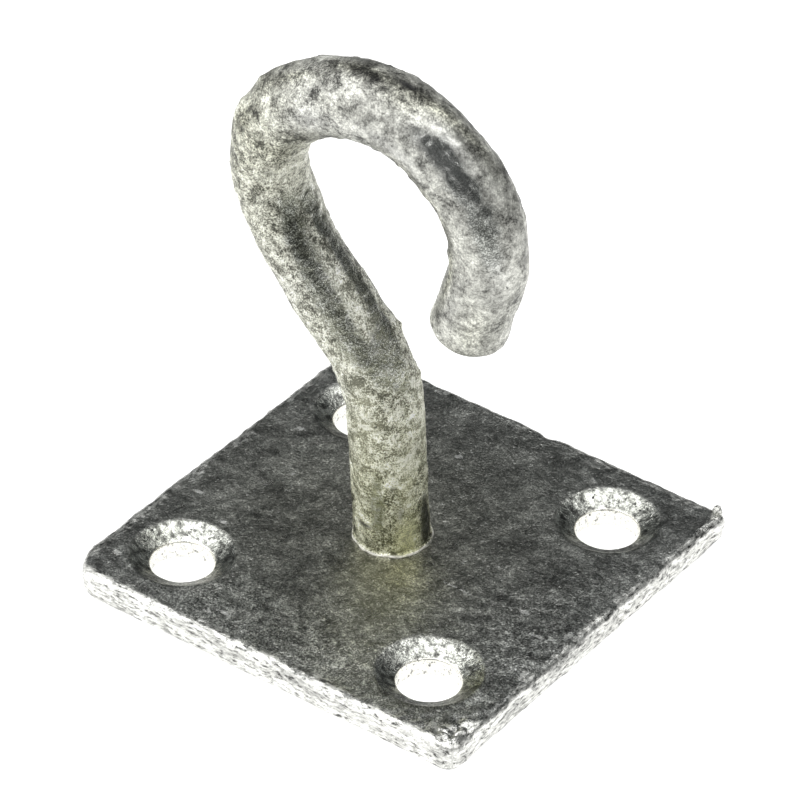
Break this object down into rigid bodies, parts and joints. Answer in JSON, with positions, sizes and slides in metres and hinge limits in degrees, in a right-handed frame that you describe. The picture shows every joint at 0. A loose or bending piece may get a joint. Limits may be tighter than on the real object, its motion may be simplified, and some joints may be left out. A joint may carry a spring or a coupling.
{
  "type": "bolt-on hook",
  "caption": "Open round-bar hook riveted upright into a square plate with countersunk screw holes, hot-dip galvanised.",
  "frame": {"origin": "middle of the plate's back face", "axes": "+Z out of the wall along the shank, +X towards the side on which the hook's tip comes down"},
  "size_m": [0.05, 0.05, 0.065],
  "materials": {
    "plate_zinc": "dull mottled hot-dip zinc, bright where it ran thick along the rims",
    "bar_zinc": "speckled silver-grey hot-dip zinc over forged bar"
  },
  "bodies": {
    "root": {"plate": "plate_zinc", "hook": "bar_zinc"}
  },
  "joints": []
}
